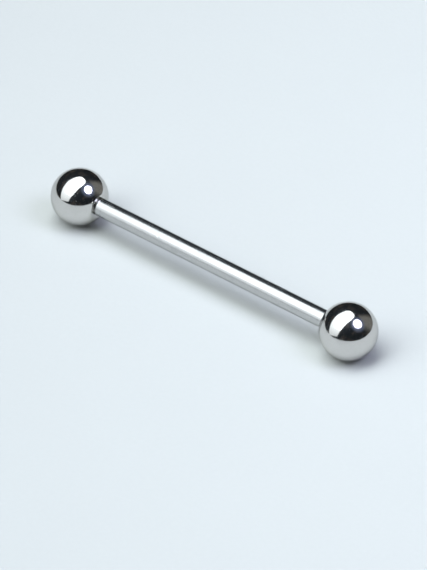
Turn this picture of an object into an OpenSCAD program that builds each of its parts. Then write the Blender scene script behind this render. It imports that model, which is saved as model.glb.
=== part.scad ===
// Straight barbell for a tongue piercing: a round shaft with a ball screwed on each end.
// It lies on a flat surface. X runs along the shaft, Z is up, and the origin is on that
// surface, midway between the balls. All lengths are in millimetres.

/* [Shaft] */
// Diameter of the shaft between the balls
shaft_d = 1.6; // [1.5:0.1:2.4]
// Length of the shaft from shoulder to shoulder, the length that is worn
shaft_l = 25; // [6:1:45]
// Width of the bevel round each shoulder
shoulder_bevel = 0.1; // [0.02:0.02:0.14]

/* [Screw ends] */
// Outside diameter of the thread on each end of the shaft
thread_d = 1.2; // [1:0.05:1.25]
// Distance from one ridge of the thread to the next
thread_pitch = 0.25; // [0.2:0.05:0.35]
// Length of each screw end past its shoulder
screw_l = 2.6; // [1.5:0.1:3]
// Length of the plain neck between the shoulder and the first ridge
neck_l = 0.3; // [0.1:0.05:0.5]
// Width of the bevel on the tip of each screw end
tip_bevel = 0.15; // [0.05:0.05:0.3]

/* [Balls] */
// Diameter of each ball
ball_d = 5; // [4:0.5:8]
// Width of the flat ring on a ball that shows round the shoulder
seat_lip = 0.3; // [0.05:0.05:0.5]
// Gap between the shoulder and the ball's flat seat
seat_gap = 0.02; // [0.01:0.01:0.1]
// Clearance all round the thread in the ball's hole
thread_clearance = 0.03; // [0.01:0.01:0.1]
// Room in the hole past the tip of the screw end
tip_room = 0.4; // [0.1:0.1:0.8]
// Width of the bevel at the mouth of the hole
mouth_bevel = 0.08; // [0.02:0.02:0.1]

/* [Hidden] */
$fn = 96;

steel = [0.80, 0.81, 0.82];
// How far a cutter reaches past the face that it cuts
cut_over = 0.5;
// Turn of each ball's seam from the top, about the shaft
seam_turn = 45;

shaft_r = shaft_d / 2;
ball_r = ball_d / 2;
// The balls rest on the surface and carry the shaft, so the axis is one ball radius up
axis_z = ball_r;
shoulder_x = shaft_l / 2;
tip_x = shoulder_x + screw_l;

// A metric thread: flanks at 30 degrees to a square cut, and a crest an eighth of the pitch wide
flank_angle = 30;
thread_r = thread_d / 2;
thread_depth = 0.6134 * thread_pitch;
root_r = thread_r - thread_depth;
flank_l = thread_depth * tan(flank_angle);
crest_l = thread_pitch / 8;
ridge_l = 2 * flank_l + crest_l;

ridge_count = floor((screw_l - neck_l - tip_bevel) / thread_pitch);

// The seat is a flat cut across the ball, a little wider than the shaft
seat_r = shaft_r + seat_lip;
seat_z = sqrt(ball_r * ball_r - seat_r * seat_r);
ball_x = shoulder_x + seat_gap + seat_z;

hole_r = thread_r + thread_clearance;
hole_bottom_z = seat_z + seat_gap - screw_l - tip_room;
// A twist drill's tip leaves a cone of 118 degrees
drill_tip_h = hole_r / tan(118 / 2);
groove_top_z = seat_z - mouth_bevel;
groove_count = floor((groove_top_z - hole_bottom_z - tip_room) / thread_pitch);

// Outline of a row of ridges as [radius, distance] points, the first ridge starting at start.
// Step is the pitch with its sign, so that the row can run either way along the axis.
function ridge_row(foot_r, top_r, start, step, count) = [
    for (i = [0 : 1 : count - 1])
        let (foot = start + i * step, way = sign(step))
            each [
                [foot_r, foot],
                [top_r, foot + way * flank_l],
                [top_r, foot + way * (flank_l + crest_l)],
                [foot_r, foot + way * ridge_l]
            ]
];

// Outline of one end of the shaft, from its bevelled shoulder to its tip
end_outline = concat(
    [
        [shaft_r, shoulder_x - shoulder_bevel],
        [shaft_r - shoulder_bevel, shoulder_x],
        [root_r, shoulder_x]
    ],
    ridge_row(root_r, thread_r, shoulder_x + neck_l, thread_pitch, ridge_count),
    [
        [root_r, tip_x - tip_bevel],
        [root_r - tip_bevel, tip_x],
        [0, tip_x]
    ]
);

// The same outline for the other end, run backwards so that the two join into one
other_end_outline = [
    for (i = [len(end_outline) - 1 : -1 : 0]) [end_outline[i][0], -end_outline[i][1]]
];

// Outline of the tapped hole, from its bevelled mouth to the cone that the drill left
hole_outline = concat(
    [
        [0, seat_z + cut_over],
        [hole_r + mouth_bevel + cut_over, seat_z + cut_over],
        [hole_r, seat_z - mouth_bevel]
    ],
    ridge_row(hole_r, hole_r + thread_depth, groove_top_z - crest_l, -thread_pitch, groove_count),
    [
        [hole_r, hole_bottom_z],
        [0, hole_bottom_z - drill_tip_h]
    ]
);

module shaft() {
    color(steel)
        translate([0, 0, axis_z])
            rotate([0, 90, 0])
                rotate_extrude()
                    polygon(concat(other_end_outline, end_outline));
}

// One ball about its own centre, with its seat and hole facing up
module drilled_ball() {
    difference() {
        sphere(r = ball_r);
        translate([-ball_r, -ball_r, seat_z]) cube(ball_d);
        rotate_extrude() polygon(hole_outline);
    }
}

// Side is -1 for the left end of the shaft and 1 for the right.
// The ball is turned about the shaft so that its surface's seam is clear of what it lies on.
module ball_at(side) {
    color(steel)
        translate([side * ball_x, 0, axis_z])
            rotate([0, -90 * side, 0])
                rotate([0, 0, seam_turn])
                    drilled_ball();
}

module left_ball() {
    ball_at(-1);
}

module right_ball() {
    ball_at(1);
}

shaft();
left_ball();
right_ball();
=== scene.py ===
"""A straight barbell in polished steel, with a screwed-on ball at each end, in a small studio."""

import math

import bmesh
import bpy
from bpy.props import FloatProperty, FloatVectorProperty, PointerProperty
from mathutils import Matrix, Vector


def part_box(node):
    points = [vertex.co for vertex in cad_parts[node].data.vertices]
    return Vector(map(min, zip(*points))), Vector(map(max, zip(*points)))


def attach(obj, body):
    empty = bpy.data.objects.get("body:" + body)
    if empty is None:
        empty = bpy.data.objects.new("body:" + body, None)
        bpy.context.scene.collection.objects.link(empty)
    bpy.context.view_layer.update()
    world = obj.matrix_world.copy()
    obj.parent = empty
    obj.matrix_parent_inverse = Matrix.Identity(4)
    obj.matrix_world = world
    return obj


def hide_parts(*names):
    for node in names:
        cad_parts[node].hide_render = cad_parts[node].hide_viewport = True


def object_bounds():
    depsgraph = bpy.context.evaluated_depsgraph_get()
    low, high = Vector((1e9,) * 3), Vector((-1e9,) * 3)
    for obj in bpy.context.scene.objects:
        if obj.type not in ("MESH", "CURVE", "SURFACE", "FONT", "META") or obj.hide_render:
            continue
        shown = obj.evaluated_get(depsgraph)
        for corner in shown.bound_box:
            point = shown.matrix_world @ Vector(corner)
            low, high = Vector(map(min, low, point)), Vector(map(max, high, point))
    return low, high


bl_info = {
    "name": "Tongue barbell",
    "version": (1, 0, 0),
    "blender": (4, 5, 0),
    "location": "3D View > Sidebar > Barbell",
    "description": "Makes a straight steel barbell with two screwed-on balls, and a small studio",
    "category": "Object",
}

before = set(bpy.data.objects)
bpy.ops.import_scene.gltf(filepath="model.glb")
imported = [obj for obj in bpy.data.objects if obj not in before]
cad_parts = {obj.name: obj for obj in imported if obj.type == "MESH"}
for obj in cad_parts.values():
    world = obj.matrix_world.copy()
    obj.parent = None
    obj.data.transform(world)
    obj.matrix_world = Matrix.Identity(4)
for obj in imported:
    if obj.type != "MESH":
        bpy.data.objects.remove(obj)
CAD_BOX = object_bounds()
SHAFT_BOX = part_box("shaft")
BALL_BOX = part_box("right_ball")

# The meshes are turned in millimetres, about the X axis, and are brought to metres when finished
MM = 0.001
# Points closer than this are one
WELD = 4e-4
# Distance from a rounded edge to the ring that keeps the face past it evenly shaded
HOLD = 0.04
# Steps round the axis, along a ball's outline, and in one turn of a thread
SHAFT_STEPS = 144
BALL_STEPS = 208
BALL_OUTLINE_STEPS = 104
THREAD_STEPS = 64
# Cuts in each line of a thread's outline, and steps across a rounded edge
THREAD_CUTS = 2
ROUNDING_STEPS = 3
# Faces that meet more sharply than this show an edge
SHARP_ANGLE = math.radians(28)

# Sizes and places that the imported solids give. The seat's is its distance from the ball's centre.
AXIS_Z = (CAD_BOX[0].z + CAD_BOX[1].z) / 2
BALL_R = (CAD_BOX[1].z - CAD_BOX[0].z) / 2
BALL_X = CAD_BOX[1].x - BALL_R
SEAT_X = BALL_X - BALL_BOX[0].x
SHAFT_R = (SHAFT_BOX[1].z - SHAFT_BOX[0].z) / 2
TIP_X = SHAFT_BOX[1].x

# A metric thread: flanks at 30 degrees to a square cut, and a crest an eighth of the pitch wide
FLANK_ANGLE = math.radians(30)
DEPTH_PER_PITCH = 0.6134
CREST_PER_PITCH = 0.125
DRILL_TIP_ANGLE = math.radians(118)

# Scales of noise are in cycles to a metre along X, Y and Z. Each pair of edges holds the values
# between which something goes from nothing to full.
HAZE_SCALE = (620, 620, 620)
HAZE_EDGES = (0.42, 0.72)
# Each bundle of hairlines: its turns about X, Y and Z, and the value of noise where a line starts
BALL_HAIRLINES = (((0.4, 0.2, 0.9), 0.70), ((1.3, 0.7, 2.3), 0.70), ((2.1, 1.9, 0.3), 0.70))
SHAFT_HAIRLINES = (((0, 0.5, 1.1), 0.72), ((0.9, 0.2, 0.1), 0.70))
HAIRLINE_SCALE = (320, 15000, 15000)
HAIRLINE_FADE = 0.06
HAIRLINE_DEPTH = 3e-7
# How much of the steel's dulled colour full haze and a hairline bring
HAZE_DULLS = 0.6
HAIRLINE_DULLS = 0.8
# Roughness of the fine wear that scatters light widely, how it shifts the steel's colour, and its
# share where the steel is clean and where haze is full, before the finish scales it
VEIL_ROUGHNESS = 0.45
VEIL_TINT = (0.80, 1.0, 1.28)
VEIL_CLEAN = 0.85
VEIL_HAZY = 1.25
# Faint waves that polishing leaves, with their heights in metres
BALL_WAVES_SCALE = (750, 750, 750)
BALL_WAVES_H = 1.3e-5
SHAFT_WAVES_SCALE = (260, 900, 900)
SHAFT_WAVES_H = 5e-7
# Lines along the shaft, from its drawing
DRAWN_SCALE = (90, 16000, 16000)
DRAWN_EDGES = (0.4, 0.7)
DRAWN_ROUGHNESS = 0.06
DRAWN_H = 5e-7
# Two small dents in the shaft, in metres: their places, radius, floor and depth
DENTS = ((-0.00544, -0.000588, 0.003042), (0.006084, 0.0, 0.0033))
DENT_R = 0.0001
DENT_FLOOR_R = 0.2 * DENT_R
DENT_DEPTH = 1.5e-5

# The softbox leans over the barbell. It lies in the first of these directions, and its length
# runs along the second. Its sizes are in metres, as all the studio's are.
SOFTBOX_DIRECTION = (-0.352, -0.458, 0.816)
SOFTBOX_ALONG = (0.201, 0.814, 0.544)
SOFTBOX_DISTANCE = 0.4
SOFTBOX_WIDTH = 0.404
SOFTBOX_ASIDE = -0.005
SOFTBOX_LOW = -0.506
SOFTBOX_HIGH = 0.623
SOFTBOX_CORNER = 0.195
SOFTBOX_CORNER_STEPS = 6
# How far one corner of its foot hangs below the other
SOFTBOX_SAG = 0.05
# Brightness of the softbox, as shares of its full strength: at its foot, gained evenly along
# its length, and gained where the bulb glows through
SOFTBOX_FOOT = 0.12
SOFTBOX_RISE = 0.25
SOFTBOX_BULB = 0.66
# The bulb's glow, in metres across and along the softbox
BULB_SIDE = (0.10, -0.08)
BULB_LOWER = (-0.22, -0.10)
BULB_UPPER = (0.44, 0.26)
LAMP_DIRECTION = (0.615, 0.12, 0.778)
LAMP_DISTANCE = 0.5
LAMP_R = 0.146
LAMP_STEPS = 48
# The lamp's face goes from its rim's share of brightness to its full one between two radii
LAMP_RIM = 0.5
LAMP_EDGES = (1.05 * LAMP_R, 0.85 * LAMP_R)
# The lamp's halo, by the cosine of the angle from the lamp
HALO_EDGES = (0.80, 0.963)
HALO_POWER = 2.0
# The surroundings: where their noise is centred, its scale over all directions, and its edges
ROOM_CENTRE = (0.7, 0.1, 0.4)
ROOM_SCALE = 3.2
ROOM_EDGES = (0.46, 0.68)
# A pale patch of wall: its middle, and the directions across and up it
WALL_DIRECTION = (0.545, 0.79, 0.28)
WALL_ACROSS = (0.795, -0.432, -0.328)
WALL_UP = (0.265, -0.434, 0.861)
# The patch's sides, by distance across and up it, and how it fades away from its middle
WALL_LEFT = (-0.50, -0.18)
WALL_RIGHT = (0.62, 0.06)
WALL_TOP = (0.60, 0.44)
WALL_MIDDLE = (0.2, 0.6)
# Blotches that darken the patch by up to this share
BLOTCH_SHARE = 0.2
BLOTCH_SCALE = 9.0
BLOTCH_EDGES = (0.35, 0.65)
# What the camera sees past the surface
BACKDROP = (0.76, 0.85, 0.90, 1)

SURFACE_R = 0.3
SURFACE_STEPS = 96
BOARD_CLOUD_SCALE = (60, 60, 60)
BOARD_GRAIN_SCALE = (2600, 2600, 2600)
BOARD_GRAIN_H = 2e-5
BOARD_BUMP = 0.4
BOARD_ROUGHNESS = 0.75
BOARD_SPECULAR = 0.15
# Painted light and shade: the board's colour gets lighter from one side of the barbell to the other,
# across this distance each way
BOARD_PAINTED_SHADE_TURN = math.radians(-58)
BOARD_PAINTED_SHADE_FADE = 0.034
# Painted shade: the board's colour gets darker away from the barbell, between these distances
BOARD_PAINTED_SHADE_DISTANCES = (0.02, 0.12)
# How much the painted side shade, the clouds, the grain and the painted distance shade count in the
# board's colour
BOARD_PAINTED_SIDE_SHADE_SHARE = 0.7
BOARD_CLOUD_SHARE = 0.15
BOARD_GRAIN_SHARE = 0.15
BOARD_PAINTED_FAR_SHADE_SHARE = 0.5

# The picture's height in pixels, its scale at the barbell, the camera's sensor in millimetres, and
# how far right and up of the barbell's middle the camera looks, in millimetres
PICTURE_H = 570
PX_PER_MM = 11.86
SENSOR = 36.0
VIEW_RIGHT = 0.119
VIEW_UP = -1.860


class ShaftSizes(bpy.types.PropertyGroup):
    """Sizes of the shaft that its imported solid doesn't give."""

    screw_l: FloatProperty(
        name="Screw end", description="Length of each screw end past its shoulder",
        default=0.0026, min=0.0015, max=0.003, precision=5, unit="LENGTH")
    thread_d: FloatProperty(
        name="Thread", description="Outside diameter of the thread on each end",
        default=0.0012, min=0.001, max=0.00125, precision=5, unit="LENGTH")
    thread_pitch: FloatProperty(
        name="Pitch", description="Distance from one ridge of the thread to the next",
        default=0.00025, min=0.0002, max=0.00035, precision=5, unit="LENGTH")
    neck_l: FloatProperty(
        name="Neck", description="Length of the plain neck between the shoulder and the thread",
        default=0.0003, min=0.0001, max=0.0005, precision=5, unit="LENGTH")
    tip_bevel: FloatProperty(
        name="Tip bevel", description="Width of the bevel on the tip of each screw end",
        default=0.00015, min=0.00005, max=0.0003, precision=5, unit="LENGTH")
    shoulder_bevel: FloatProperty(
        name="Shoulder bevel", description="Width of the bevel round each shoulder",
        default=0.0001, min=0.00002, max=0.00014, precision=5, unit="LENGTH")
    edge_round: FloatProperty(
        name="Edge rounding", description="How far polishing has rounded each turned edge",
        default=0.000012, min=0.000004, max=0.00002, precision=6, unit="LENGTH")


class BallSizes(bpy.types.PropertyGroup):
    """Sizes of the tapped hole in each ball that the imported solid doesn't give."""

    thread_clearance: FloatProperty(
        name="Clearance", description="Clearance all round the thread in the ball's hole",
        default=0.00003, min=0.00001, max=0.0001, precision=5, unit="LENGTH")
    hole_l: FloatProperty(
        name="Hole", description="Depth of the hole from the seat to the start of its drilled cone",
        default=0.00298, min=0.0018, max=0.0034, precision=5, unit="LENGTH")
    untapped_l: FloatProperty(
        name="Untapped end", description="Length of the plain bore past the end of the thread",
        default=0.0004, min=0.0001, max=0.0008, precision=5, unit="LENGTH")
    mouth_bevel: FloatProperty(
        name="Mouth bevel", description="Width of the bevel at the mouth of the hole",
        default=0.00008, min=0.00002, max=0.0001, precision=5, unit="LENGTH")
    edge_round: FloatProperty(
        name="Edge rounding", description="How far polishing has rounded the edge of the seat",
        default=0.000006, min=0.000004, max=0.00003, precision=6, unit="LENGTH")


class SteelFinish(bpy.types.PropertyGroup):
    """Colour and polish of the steel."""

    ball_colour: FloatVectorProperty(
        name="Balls", description="Colour that the buffed balls mirror in",
        default=(0.62, 0.606, 0.582), size=3, subtype="COLOR", min=0, max=1)
    shaft_colour: FloatVectorProperty(
        name="Shaft", description="Colour that the drawn shaft mirrors in",
        default=(0.515, 0.508, 0.49), size=3, subtype="COLOR", min=0, max=1)
    dulling: FloatProperty(
        name="Dulling", description="Share of its brightness that the steel loses where it is hazy",
        default=0.08, min=0, max=1, subtype="FACTOR")
    ball_roughness: FloatProperty(
        name="Balls' roughness", description="Roughness of the balls where they are cleanest",
        default=0.07, min=0.02, max=0.3, subtype="FACTOR")
    shaft_roughness: FloatProperty(
        name="Shaft's roughness", description="Roughness of the shaft where it is cleanest",
        default=0.15, min=0.02, max=0.3, subtype="FACTOR")
    ball_veil: FloatProperty(
        name="Balls' veil", description="Share of light that fine wear scatters widely on the balls",
        default=0.012, min=0, max=0.3, subtype="FACTOR")
    shaft_veil: FloatProperty(
        name="Shaft's veil", description="Share of light that fine wear scatters widely on the shaft",
        default=0.07, min=0, max=0.3, subtype="FACTOR")
    edge: FloatProperty(
        name="Edge", description="Share of its light that the steel still mirrors where it turns away",
        default=0.79, min=0, max=1, subtype="FACTOR")
    haze: FloatProperty(
        name="Haze roughness", description="Roughness that handling adds in cloudy patches",
        default=0.05, min=0, max=0.3, subtype="FACTOR")
    scratch: FloatProperty(
        name="Scratch roughness", description="Roughness that a hairline scratch adds",
        default=0.16, min=0, max=0.5, subtype="FACTOR")


class StudioSettings(bpy.types.PropertyGroup):
    """The surface, the lights and the camera."""

    surface_colour: FloatVectorProperty(
        name="Surface", description="Colour of the surface that the barbell lies on",
        default=(0.463, 0.476, 0.462), size=3, subtype="COLOR", min=0, max=1)
    # Scales the board's random tone and its painted shade alike
    surface_tone_and_painted_shade: FloatProperty(
        name="Unevenness", description="How much darker and lighter the surface is than its colour",
        default=0.1, min=0, max=0.3, subtype="FACTOR")
    softbox_colour: FloatVectorProperty(
        name="Softbox", description="Colour of the large softbox",
        default=(0.885, 0.955, 1.0), size=3, subtype="COLOR", min=0, max=1)
    softbox_strength: FloatProperty(
        name="Softbox strength", description="Brightness of the large softbox", default=8.85, min=0)
    lamp_colour: FloatVectorProperty(
        name="Lamp", description="Colour of the round lamp",
        default=(0.73, 0.762, 1.0), size=3, subtype="COLOR", min=0, max=1)
    lamp_strength: FloatProperty(
        name="Lamp strength", description="Brightness of the round lamp", default=7.1, min=0)
    halo_colour: FloatVectorProperty(
        name="Halo", description="Colour of the soft glow round the lamp",
        default=(0.52, 0.65, 1.0), size=3, subtype="COLOR", min=0, max=1)
    halo_strength: FloatProperty(
        name="Halo strength", description="Brightness of the soft glow at the lamp's rim",
        default=0.27, min=0)
    wall_colour: FloatVectorProperty(
        name="Wall", description="Colour of the pale patch of wall behind the barbell, seen mirrored",
        default=(0.235, 0.235, 0.221), size=3, subtype="COLOR", min=0, max=1)
    dark_colour: FloatVectorProperty(
        name="Dark room", description="Colour of the darkest surroundings, seen mirrored",
        default=(0.014, 0.017, 0.020), size=3, subtype="COLOR", min=0, max=1)
    dim_colour: FloatVectorProperty(
        name="Dim room", description="Colour of the less dark surroundings, seen mirrored",
        default=(0.055, 0.048, 0.043), size=3, subtype="COLOR", min=0, max=1)
    camera_azimuth: FloatProperty(
        name="Camera turn", description="How far round the camera stands from the side of the shaft",
        default=math.radians(39.85), subtype="ANGLE")
    camera_elevation: FloatProperty(
        name="Camera height", description="Angle of the camera above the surface",
        default=math.radians(37.1), subtype="ANGLE")
    camera_distance: FloatProperty(
        name="Camera distance", description="Distance from the camera to the barbell",
        default=0.5, min=0.1, unit="LENGTH")


class Wire:
    """A value in a material's nodes. Arithmetic on it adds Math nodes."""

    def __init__(self, sheet, socket):
        self.sheet = sheet
        self.socket = socket

    def math(self, operation, *values):
        return self.sheet.node("ShaderNodeMath", {"operation": operation}, dict(enumerate(values)))

    def __add__(self, other):
        return self.math("ADD", self, other)

    def __radd__(self, other):
        return self.math("ADD", other, self)

    def __sub__(self, other):
        return self.math("SUBTRACT", self, other)

    def __rsub__(self, other):
        return self.math("SUBTRACT", other, self)

    def __mul__(self, other):
        return self.math("MULTIPLY", self, other)

    def __rmul__(self, other):
        return self.math("MULTIPLY", other, self)

    def at_most(self, other):
        return self.math("MINIMUM", self, other)

    def power(self, exponent):
        return self.math("POWER", self, exponent)

    def ramp(self, low, high, shape="SMOOTHSTEP"):
        """0 below low, 1 above high and a smooth step between; low may be the greater."""
        values = {"Value": self, "From Min": low, "From Max": high}
        return self.sheet.node("ShaderNodeMapRange", {"interpolation_type": shape}, values)

    def line(self, low, high):
        """0 below low, 1 above high and an even slope between."""
        return self.ramp(low, high, "LINEAR")


# Which of a Mix node's sockets are the ones for colours
MIX_SHARE = 0
MIX_FIRST = 6
MIX_SECOND = 7
MIX_RESULT = 2


class Sheet:
    """The nodes of one material or world."""

    def __init__(self, owner):
        owner.use_nodes = True
        self.tree = owner.node_tree
        self.tree.nodes.clear()

    def node(self, kind, settings=None, values=None, output=0):
        """Adds a node: its settings first, then the values or wires of its sockets."""
        made = self.tree.nodes.new(kind)
        for name, value in (settings or {}).items():
            setattr(made, name, value)
        for name, value in (values or {}).items():
            if isinstance(value, Wire):
                self.tree.links.new(value.socket, made.inputs[name])
            else:
                made.inputs[name].default_value = value
        return Wire(self, made.outputs[output]) if made.outputs else made

    def place(self, scale=(1, 1, 1), turn=(0, 0, 0), centre=(0, 0, 0)):
        """Object coordinates, centred on a point, then turned and scaled."""
        spot = self.node("ShaderNodeTexCoord", output="Object")
        from_centre = self.node(
            "ShaderNodeVectorMath", {"operation": "SUBTRACT"}, {0: spot, 1: centre})
        values = {"Vector": from_centre, "Rotation": turn, "Scale": scale}
        return self.node("ShaderNodeMapping", {"vector_type": "POINT"}, values)

    def noise(self, vector, scale=1.0, detail=2.0, roughness=0.5):
        values = {"Vector": vector, "Scale": scale, "Detail": detail, "Roughness": roughness}
        return self.node("ShaderNodeTexNoise", {"noise_dimensions": "3D"}, values)

    def mix_colour(self, share, first, second):
        """Goes from the first colour to the second as share goes from 0 to 1."""
        colours = [c if isinstance(c, Wire) else (*c, 1) for c in (first, second)]
        values = {MIX_SHARE: share, MIX_FIRST: colours[0], MIX_SECOND: colours[1]}
        return self.node("ShaderNodeMix", {"data_type": "RGBA"}, values, output=MIX_RESULT)

    def length(self, vector):
        return self.node("ShaderNodeVectorMath", {"operation": "LENGTH"}, {0: vector}, output="Value")

    def towards(self, vector, direction):
        """How far the vector reaches in a direction: the cosine of the angle for a unit vector."""
        values = {0: vector, 1: Vector(direction).normalized()}
        return self.node("ShaderNodeVectorMath", {"operation": "DOT_PRODUCT"}, values, output="Value")

    def part(self, vector, axis):
        return self.node("ShaderNodeSeparateXYZ", None, {"Vector": vector}, output=axis)


def outline_start(bm, x, r):
    """Starts an outline at distance x along the axis and radius r."""
    return bm.verts.new((x, 0, r))


def line_to(bm, last, x, r):
    """Draws the outline on to a new point and returns that point."""
    new = bmesh.ops.extrude_vert_indiv(bm, verts=[last])["verts"][0]
    new.co = (x, 0, r)
    return new


def arc_on(bm, last, angle, steps):
    """Draws the outline on along an arc about the origin and returns its last point."""
    made = bmesh.ops.spin(
        bm, geom=[last], cent=(0, 0, 0), axis=(0, 1, 0), dvec=(0, 0, 0), angle=angle,
        steps=steps, use_merge=False, use_normal_flip=False, use_duplicate=False)
    return next(v for v in made["geom_last"] if isinstance(v, bmesh.types.BMVert))


def turn(bm, steps):
    """Turns the outline once round the axis, as a lathe does, and closes its seam and poles."""
    bmesh.ops.spin(
        bm, geom=bm.verts[:] + bm.edges[:], cent=(0, 0, 0), axis=(1, 0, 0), dvec=(0, 0, 0),
        angle=2 * math.pi, steps=steps, use_merge=True, use_normal_flip=False, use_duplicate=False)
    bmesh.ops.remove_doubles(bm, verts=bm.verts, dist=WELD)


def radius_of(vert):
    return math.hypot(vert.co.y, vert.co.z)


def round_ring(bm, x, r, width):
    """Rounds the turned edge at distance x and radius r."""
    def on_ring(v):
        return abs(v.co.x - x) < WELD and abs(radius_of(v) - r) < WELD

    ring = [e for e in bm.edges if on_ring(e.verts[0]) and on_ring(e.verts[1])]
    bmesh.ops.bevel(
        bm, geom=ring, offset=width, offset_type="OFFSET", affect="EDGES",
        segments=ROUNDING_STEPS, profile=0.5, material=-1)


def thread_skin(first_x, last_x, foot_r, crest_r, pitch):
    """A right-hand V thread as one open skin, which fades to the foot radius at both ends."""
    flank_l = abs(crest_r - foot_r) * math.tan(FLANK_ANGLE)
    crest_l = CREST_PER_PITCH * pitch
    turns = math.ceil((last_x - first_x) / pitch) + 2
    bm = bmesh.new()
    start = outline_start(bm, first_x - 1.5 * pitch, foot_r)
    rise = line_to(bm, start, start.co.x + flank_l, crest_r)
    top = line_to(bm, rise, rise.co.x + crest_l, crest_r)
    fall = line_to(bm, top, top.co.x + flank_l, foot_r)
    line_to(bm, fall, start.co.x + pitch, foot_r)
    bmesh.ops.subdivide_edges(bm, edges=bm.edges[:], cuts=THREAD_CUTS)
    bmesh.ops.spin(
        bm, geom=bm.verts[:] + bm.edges[:], cent=(0, 0, 0), axis=(1, 0, 0),
        dvec=(pitch / THREAD_STEPS, 0, 0), angle=2 * math.pi, steps=THREAD_STEPS,
        use_merge=False, use_normal_flip=False, use_duplicate=False)
    one_turn = bm.verts[:] + bm.edges[:] + bm.faces[:]
    for count in range(1, turns):
        copied = bmesh.ops.duplicate(bm, geom=one_turn)["geom"]
        verts = [v for v in copied if isinstance(v, bmesh.types.BMVert)]
        bmesh.ops.translate(bm, vec=(count * pitch, 0, 0), verts=verts)
    bmesh.ops.remove_doubles(bm, verts=bm.verts, dist=WELD)
    for v in bm.verts:
        r = radius_of(v)
        room = max(0, min(v.co.x - first_x, last_x - v.co.x))
        held = foot_r + math.copysign(min(abs(r - foot_r), room), crest_r - foot_r)
        v.co.y *= held / r
        v.co.z *= held / r
    for x, outward in ((first_x, -1), (last_x, 1)):
        bmesh.ops.bisect_plane(
            bm, geom=bm.verts[:] + bm.edges[:] + bm.faces[:], dist=WELD, plane_co=(x, 0, 0),
            plane_no=(outward, 0, 0), clear_outer=True)
    return bm


def add_skin(bm, skin):
    """Moves another mesh's faces into bm."""
    passing = bpy.data.meshes.new("passing")
    skin.to_mesh(passing)
    skin.free()
    bm.from_mesh(passing)
    bpy.data.meshes.remove(passing)


def bridge_rims(bm, x_a, x_b):
    """Closes the gap between the open rims at x_a and x_b."""
    def open_at(x):
        return [e for e in bm.edges if e.is_boundary and all(abs(v.co.x - x) < WELD for v in e.verts)]

    rims = open_at(x_a) + open_at(x_b)
    if not rims:
        raise RuntimeError("no open rims to bridge")
    bmesh.ops.bridge_loops(bm, edges=rims)


def finish_piece(bm, name, matrix):
    """Closes the mesh, brings it to its place in metres and makes the object."""
    bmesh.ops.remove_doubles(bm, verts=bm.verts, dist=WELD)
    bmesh.ops.recalc_face_normals(bm, faces=bm.faces)
    bmesh.ops.transform(bm, matrix=matrix, verts=bm.verts)
    for face in bm.faces:
        face.smooth = True
    open_edges = [e for e in bm.edges if not e.is_manifold]
    if open_edges:
        raise RuntimeError(f"{name} is not closed: {len(open_edges)} open edges")
    mesh = bpy.data.meshes.new(name)
    bm.to_mesh(mesh)
    bm.free()
    mesh.set_sharp_from_angle(angle=SHARP_ANGLE)
    piece = bpy.data.objects.new(name, mesh)
    bpy.context.scene.collection.objects.link(piece)
    return piece


def to_place(x, half_turn=False):
    """From millimetres about the origin to metres about the point x on the barbell's axis."""
    spin = Matrix.Rotation(math.pi, 4, "Z") if half_turn else Matrix.Identity(4)
    return Matrix.Translation((x, 0, AXIS_Z)) @ spin @ Matrix.Scale(MM, 4)


def shaft_mesh(sizes):
    """The whole shaft: turned body, bevelled shoulders and a right-hand thread on each end."""
    shaft_r, tip_x = SHAFT_R / MM, TIP_X / MM
    shoulder_x = tip_x - sizes.screw_l / MM
    bevel, tip_bevel = sizes.shoulder_bevel / MM, sizes.tip_bevel / MM
    pitch = sizes.thread_pitch / MM
    crest_r = sizes.thread_d / MM / 2
    foot_r = crest_r - DEPTH_PER_PITCH * pitch
    thread_x = shoulder_x + sizes.neck_l / MM
    bm = bmesh.new()
    last = outline_start(bm, 0, shaft_r)
    last = line_to(bm, last, shoulder_x - bevel - HOLD, shaft_r)
    last = line_to(bm, last, shoulder_x - bevel, shaft_r)
    last = line_to(bm, last, shoulder_x, shaft_r - bevel)
    last = line_to(bm, last, shoulder_x, shaft_r - bevel - HOLD)
    line_to(bm, last, shoulder_x, foot_r)
    last = outline_start(bm, tip_x, foot_r - tip_bevel)
    line_to(bm, last, tip_x, 0)
    turn(bm, SHAFT_STEPS)
    for x, r in ((shoulder_x - bevel, shaft_r), (shoulder_x, shaft_r - bevel)):
        round_ring(bm, x, r, sizes.edge_round / MM)
    add_skin(bm, thread_skin(thread_x, tip_x - tip_bevel, foot_r, crest_r, pitch))
    bridge_rims(bm, shoulder_x, thread_x)
    bridge_rims(bm, tip_x - tip_bevel, tip_x)
    other = bmesh.ops.duplicate(bm, geom=bm.verts[:] + bm.edges[:] + bm.faces[:])["geom"]
    verts = [v for v in other if isinstance(v, bmesh.types.BMVert)]
    bmesh.ops.rotate(bm, verts=verts, cent=(0, 0, 0), matrix=Matrix.Rotation(math.pi, 3, "Z"))
    return bm


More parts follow.
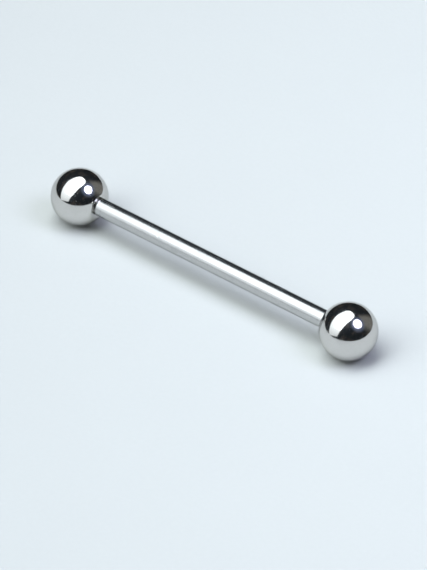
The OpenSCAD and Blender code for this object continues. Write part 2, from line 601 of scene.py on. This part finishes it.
def ball_mesh(sizes, shaft_sizes):
    """A ball about its own centre, with its seat and its tapped hole facing +X."""
    ball_r, seat_x = BALL_R / MM, SEAT_X / MM
    seat_r = math.sqrt(ball_r ** 2 - seat_x ** 2)
    pitch = shaft_sizes.thread_pitch / MM
    hole_r = (shaft_sizes.thread_d / 2 + sizes.thread_clearance) / MM
    mouth = sizes.mouth_bevel / MM
    bottom_x = seat_x - sizes.hole_l / MM
    cone_h = hole_r / math.tan(DRILL_TIP_ANGLE / 2)
    first_x = bottom_x + sizes.untapped_l / MM
    last_x = seat_x - mouth - pitch / 4
    bm = bmesh.new()
    last = outline_start(bm, -ball_r, 0)
    last = arc_on(bm, last, math.pi - math.asin(seat_r / ball_r), BALL_OUTLINE_STEPS)
    last.co = (seat_x, 0, seat_r)
    last = line_to(bm, last, seat_x, seat_r - HOLD)
    last = line_to(bm, last, seat_x, hole_r + mouth)
    line_to(bm, last, seat_x - mouth, hole_r)
    last = outline_start(bm, bottom_x, hole_r)
    line_to(bm, last, bottom_x - cone_h, 0)
    turn(bm, BALL_STEPS)
    round_ring(bm, seat_x, seat_r, sizes.edge_round / MM)
    add_skin(bm, thread_skin(first_x, last_x, hole_r, hole_r + DEPTH_PER_PITCH * pitch, pitch))
    bridge_rims(bm, bottom_x, first_x)
    bridge_rims(bm, last_x, seat_x - mouth)
    return bm


def hairlines(sheet, bundles):
    """Straight hairline scratches in several bundles, as one mask."""
    masks = []
    for turn_by, threshold in bundles:
        lie = sheet.place(scale=HAIRLINE_SCALE, turn=turn_by)
        masks.append(sheet.noise(lie, detail=1.0).ramp(threshold, threshold + HAIRLINE_FADE))
    return sum(masks[1:], masks[0]).at_most(1.0)


def steel_shader(sheet, finish, colour, roughness, veil, marks, height):
    """Polished steel: a sharp mirror, cloudy haze, a scratch mask and a height in metres."""
    haze = sheet.noise(sheet.place(scale=HAZE_SCALE), detail=3.0, roughness=0.6).ramp(*HAZE_EDGES)
    dulled = tuple((1 - finish.dulling) * c for c in colour)
    tinted = (*(tint * c for tint, c in zip(VEIL_TINT, colour)), 1)
    dull_share = (HAZE_DULLS * haze + HAIRLINE_DULLS * marks).at_most(1.0)
    colour = sheet.mix_colour(dull_share, colour, dulled)
    normal = sheet.node("ShaderNodeBump", None, {"Strength": 1.0, "Distance": 1.0, "Height": height})
    mirror = sheet.node("ShaderNodeBsdfPrincipled", None, {
        "Base Color": colour, "Metallic": 1.0, "Normal": normal,
        "Specular Tint": (finish.edge, finish.edge, finish.edge, 1),
        "Roughness": roughness + finish.haze * haze + finish.scratch * marks})
    scattered = sheet.node("ShaderNodeBsdfPrincipled", None, {
        "Base Color": tinted, "Metallic": 1.0, "Normal": normal, "Roughness": VEIL_ROUGHNESS})
    share = veil * (VEIL_CLEAN + (VEIL_HAZY - VEIL_CLEAN) * haze)
    shader = sheet.node("ShaderNodeMixShader", None, {0: share, 1: mirror, 2: scattered})
    sheet.node("ShaderNodeOutputMaterial", None, {"Surface": shader})


def ball_steel(finish):
    """Buffed ball: hairlines from a polishing wheel in three directions and a faint waviness."""
    material = bpy.data.materials.new("ball_steel")
    sheet = Sheet(material)
    marks = hairlines(sheet, BALL_HAIRLINES)
    waves = sheet.noise(sheet.place(scale=BALL_WAVES_SCALE), detail=1.0)
    height = waves * BALL_WAVES_H - marks * HAIRLINE_DEPTH
    steel_shader(
        sheet, finish, finish.ball_colour, finish.ball_roughness, finish.ball_veil, marks, height)
    return material


def shaft_steel(finish):
    """Drawn and polished shaft: faint lines along its length, a few hairlines and two dents."""
    material = bpy.data.materials.new("shaft_steel")
    sheet = Sheet(material)
    drawn = sheet.noise(sheet.place(scale=DRAWN_SCALE), detail=2.0, roughness=0.6)
    marks = hairlines(sheet, SHAFT_HAIRLINES)
    waves = sheet.noise(sheet.place(scale=SHAFT_WAVES_SCALE), detail=1.0)
    height = waves * SHAFT_WAVES_H + drawn * DRAWN_H - marks * HAIRLINE_DEPTH
    for centre in DENTS:
        dent = sheet.length(sheet.place(centre=centre)).ramp(DENT_R, DENT_FLOOR_R)
        height = height - DENT_DEPTH * dent
    roughness = finish.shaft_roughness + DRAWN_ROUGHNESS * drawn.ramp(*DRAWN_EDGES)
    steel_shader(
        sheet, finish, finish.shaft_colour, roughness, finish.shaft_veil, marks, height)
    return material


def surface_material(settings):
    """Matte pale board with a barely seen grain and random clouds, and painted shade: a little darker
    towards the softbox and away from the barbell.
    """
    material = bpy.data.materials.new("pale_board")
    sheet = Sheet(material)
    cloud = sheet.noise(sheet.place(scale=BOARD_CLOUD_SCALE), detail=4.0, roughness=0.6)
    grain = sheet.noise(sheet.place(scale=BOARD_GRAIN_SCALE), detail=2.0)
    # Painted light and shade: the colour goes lighter from one side of the barbell to the other
    side = sheet.part(sheet.place(turn=(0, 0, BOARD_PAINTED_SHADE_TURN)), "X").line(-BOARD_PAINTED_SHADE_FADE, BOARD_PAINTED_SHADE_FADE)
    # Painted shade: the colour goes darker away from the barbell
    far = sheet.length(sheet.place()).ramp(*BOARD_PAINTED_SHADE_DISTANCES)
    texture = BOARD_CLOUD_SHARE * cloud + BOARD_GRAIN_SHARE * grain
    # The board's colour mixes painted shade from side and distance with its random clouds and grain
    share = BOARD_PAINTED_SIDE_SHADE_SHARE * side + texture - BOARD_PAINTED_FAR_SHADE_SHARE * far
    darker = tuple((1 - settings.surface_tone_and_painted_shade) * c for c in settings.surface_colour)
    lighter = tuple((1 + settings.surface_tone_and_painted_shade) * c for c in settings.surface_colour)
    colour = sheet.mix_colour(share, darker, lighter)
    normal = sheet.node("ShaderNodeBump", None, {
        "Strength": BOARD_BUMP, "Distance": 1.0, "Height": grain * BOARD_GRAIN_H})
    shader = sheet.node("ShaderNodeBsdfPrincipled", None, {
        "Base Color": colour, "Roughness": BOARD_ROUGHNESS,
        "Specular IOR Level": BOARD_SPECULAR, "Normal": normal})
    sheet.node("ShaderNodeOutputMaterial", None, {"Surface": shader})
    return material


def glow_material(name, strength, colour):
    """A light's face. The function colour works out how its colour changes over the face."""
    material = bpy.data.materials.new(name)
    sheet = Sheet(material)
    shader = sheet.node("ShaderNodeBsdfPrincipled", None, {
        "Base Color": (0, 0, 0, 1), "Roughness": 1.0, "Specular IOR Level": 0.0,
        "Emission Color": colour(sheet), "Emission Strength": strength})
    sheet.node("ShaderNodeOutputMaterial", None, {"Surface": shader})
    return material


def stage_piece(name, bm, material, matrix=None, lights_only=False):
    """Adds a piece of the studio. A light's face shows in the steel and not to the camera."""
    mesh = bpy.data.meshes.new(name)
    bm.to_mesh(mesh)
    bm.free()
    mesh.materials.append(material)
    piece = bpy.data.objects.new(name, mesh)
    bpy.context.scene.collection.objects.link(piece)
    if matrix is not None:
        piece.matrix_world = matrix
    piece.visible_camera = not lights_only
    return piece


def facing(direction, along, distance):
    """A place in that direction from the barbell, with Z towards the barbell and Y along."""
    z = -Vector(direction).normalized()
    y = Vector(along)
    y = (y - y.dot(z) * z).normalized()
    x = y.cross(z)
    turned = Matrix((x, y, z)).transposed().to_4x4()
    return Matrix.Translation(Vector((0, 0, AXIS_Z)) - z * distance) @ turned


def softbox_face():
    """A long rectangle with its upper corners rounded, about the point straight over the barbell."""
    bm = bmesh.new()
    bmesh.ops.create_grid(bm, x_segments=1, y_segments=1, size=0.5)
    bmesh.ops.scale(bm, vec=(SOFTBOX_WIDTH, SOFTBOX_HIGH - SOFTBOX_LOW, 1), verts=bm.verts)
    middle = (SOFTBOX_ASIDE, (SOFTBOX_HIGH + SOFTBOX_LOW) / 2, 0)
    bmesh.ops.translate(bm, vec=middle, verts=bm.verts)
    low_corner = [v for v in bm.verts if v.co.x > 0 > v.co.y]
    bmesh.ops.translate(bm, vec=(0, -SOFTBOX_SAG, 0), verts=low_corner)
    upper = [v for v in bm.verts if v.co.y > 0]
    bmesh.ops.bevel(
        bm, geom=upper, offset=SOFTBOX_CORNER, offset_type="OFFSET", affect="VERTICES",
        segments=SOFTBOX_CORNER_STEPS, profile=0.5, material=-1)
    return bm


def add_camera(settings):
    """The camera looks a little past the barbell, which lies above the picture's middle."""
    azimuth, elevation = settings.camera_azimuth, settings.camera_elevation
    back = Vector((
        math.sin(azimuth) * math.cos(elevation),
        -math.cos(azimuth) * math.cos(elevation),
        math.sin(elevation)))
    right = Vector((math.cos(azimuth), math.sin(azimuth), 0))
    up = back.cross(right)
    camera_data = bpy.data.cameras.new("camera")
    camera_data.sensor_width = SENSOR
    camera_data.lens = SENSOR * settings.camera_distance / MM * PX_PER_MM / PICTURE_H
    camera_data.clip_start = 0.01
    camera = bpy.data.objects.new("camera", camera_data)
    bpy.context.scene.collection.objects.link(camera)
    turned = Matrix((right, up, back)).transposed().to_4x4()
    centre = Vector((0, 0, AXIS_Z)) + (right * VIEW_RIGHT + up * VIEW_UP) * MM
    camera.matrix_world = Matrix.Translation(centre + back * settings.camera_distance) @ turned
    bpy.context.scene.camera = camera


def add_world(settings):
    """Dim and uneven surroundings, which the camera sees as more of the pale surface."""
    world = bpy.data.worlds.new("studio")
    bpy.context.scene.world = world
    sheet = Sheet(world)
    spot = sheet.place()
    clouds = sheet.noise(sheet.place(centre=ROOM_CENTRE), scale=ROOM_SCALE, detail=3.0)
    room = sheet.mix_colour(clouds.ramp(*ROOM_EDGES), settings.dark_colour, settings.dim_colour)
    across, up = sheet.towards(spot, WALL_ACROSS), sheet.towards(spot, WALL_UP)
    patch = across.ramp(*WALL_LEFT) * across.ramp(*WALL_RIGHT) * up.ramp(*WALL_TOP)
    patch = patch * sheet.towards(spot, WALL_DIRECTION).ramp(*WALL_MIDDLE)
    clean = sheet.noise(spot, scale=BLOTCH_SCALE).ramp(*BLOTCH_EDGES)
    patch = patch * (1 - BLOTCH_SHARE + BLOTCH_SHARE * clean)
    room = sheet.mix_colour(patch, room, settings.wall_colour)
    glow = sheet.towards(spot, LAMP_DIRECTION).ramp(*HALO_EDGES).power(HALO_POWER)
    halo = tuple(settings.halo_strength * c for c in settings.halo_colour)
    room = sheet.mix_colour(glow, room, halo)
    dim = sheet.node("ShaderNodeBackground", None, {"Color": room, "Strength": 1.0})
    pale = sheet.node("ShaderNodeBackground", None, {"Color": BACKDROP, "Strength": 1.0})
    seen = sheet.node("ShaderNodeLightPath", output="Is Camera Ray")
    shader = sheet.node("ShaderNodeMixShader", None, {0: seen, 1: dim, 2: pale})
    sheet.node("ShaderNodeOutputWorld", None, {"Surface": shader})


class BARBELL_OT_make_shaft(bpy.types.Operator):
    """Make the polished shaft with its threaded ends"""

    bl_idname = "barbell.make_shaft"
    bl_label = "Make shaft"

    def execute(self, context):
        settings = context.scene.barbell_shaft
        piece = finish_piece(shaft_mesh(settings), "polished_shaft", to_place(0))
        piece.data.materials.append(shaft_steel(context.scene.barbell_steel))
        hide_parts("shaft")
        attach(piece, "shaft")
        return {"FINISHED"}


class BARBELL_OT_make_balls(bpy.types.Operator):
    """Make both polished balls with their tapped holes"""

    bl_idname = "barbell.make_balls"
    bl_label = "Make balls"

    def execute(self, context):
        scene = context.scene
        steel = ball_steel(scene.barbell_steel)
        bm = ball_mesh(scene.barbell_balls, scene.barbell_shaft)
        for node, side in (("left_ball", -1), ("right_ball", 1)):
            matrix = to_place(side * BALL_X, half_turn=side > 0)
            piece = finish_piece(bm.copy(), "polished_" + node, matrix)
            piece.data.materials.append(steel)
            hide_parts(node)
            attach(piece, node)
        bm.free()
        return {"FINISHED"}


class BARBELL_OT_set_stage(bpy.types.Operator):
    """Lay the pale surface and set up the lights and the camera"""

    bl_idname = "barbell.set_stage"
    bl_label = "Set stage"

    def execute(self, context):
        settings = context.scene.barbell_studio
        bm = bmesh.new()
        bmesh.ops.create_circle(bm, cap_ends=True, radius=SURFACE_R, segments=SURFACE_STEPS)
        stage_piece("surface", bm, surface_material(settings))

        def softbox_colour(sheet):
            """Dim at the foot, then evenly brighter, with the bulb's glow along one side."""
            spot = sheet.place()
            across, along = sheet.part(spot, "X"), sheet.part(spot, "Y")
            bulb = across.ramp(*BULB_SIDE) * along.ramp(*BULB_LOWER) * along.ramp(*BULB_UPPER)
            rise = along.line(SOFTBOX_LOW, SOFTBOX_HIGH)
            share = SOFTBOX_FOOT + SOFTBOX_RISE * rise + SOFTBOX_BULB * bulb
            return sheet.mix_colour(share, (0, 0, 0), settings.softbox_colour)

        def lamp_colour(sheet):
            """Even over the middle of the face, and a little dimmer at its rim."""
            face = sheet.length(sheet.place()).ramp(*LAMP_EDGES)
            rim = tuple(LAMP_RIM * c for c in settings.lamp_colour)
            return sheet.mix_colour(face, rim, settings.lamp_colour)

        stage_piece(
            "softbox", softbox_face(),
            glow_material("softbox_face", settings.softbox_strength, softbox_colour),
            facing(SOFTBOX_DIRECTION, SOFTBOX_ALONG, SOFTBOX_DISTANCE), lights_only=True)

        bm = bmesh.new()
        bmesh.ops.create_circle(bm, cap_ends=True, radius=LAMP_R, segments=LAMP_STEPS)
        stage_piece(
            "lamp", bm, glow_material("lamp_face", settings.lamp_strength, lamp_colour),
            facing(LAMP_DIRECTION, (0, 0, 1), LAMP_DISTANCE), lights_only=True)

        add_world(settings)
        add_camera(settings)
        context.scene.view_settings.view_transform = "Standard"
        return {"FINISHED"}


class BARBELL_PT_panel(bpy.types.Panel):
    """Lists the barbell's operators and settings"""

    bl_idname = "BARBELL_PT_panel"
    bl_label = "Barbell"
    bl_space_type = "VIEW_3D"
    bl_region_type = "UI"
    bl_category = "Barbell"

    def draw(self, context):
        for operator in OPERATORS:
            self.layout.operator(operator.bl_idname)
        for group_name, group in GROUPS.items():
            box = self.layout.box()
            for name in group.__annotations__:
                box.prop(getattr(context.scene, group_name), name)


GROUPS = {
    "barbell_shaft": ShaftSizes,
    "barbell_balls": BallSizes,
    "barbell_steel": SteelFinish,
    "barbell_studio": StudioSettings,
}
OPERATORS = (BARBELL_OT_make_shaft, BARBELL_OT_make_balls, BARBELL_OT_set_stage)
CLASSES = (*GROUPS.values(), *OPERATORS, BARBELL_PT_panel)


def register():
    for cls in CLASSES:
        bpy.utils.register_class(cls)
    for name, group in GROUPS.items():
        setattr(bpy.types.Scene, name, PointerProperty(type=group))


def unregister():
    for name in GROUPS:
        delattr(bpy.types.Scene, name)
    for cls in reversed(CLASSES):
        bpy.utils.unregister_class(cls)


def main():
    register()
    bpy.ops.barbell.make_shaft()
    bpy.ops.barbell.make_balls()
    bpy.ops.barbell.set_stage()


if __name__ == "__main__":
    main()
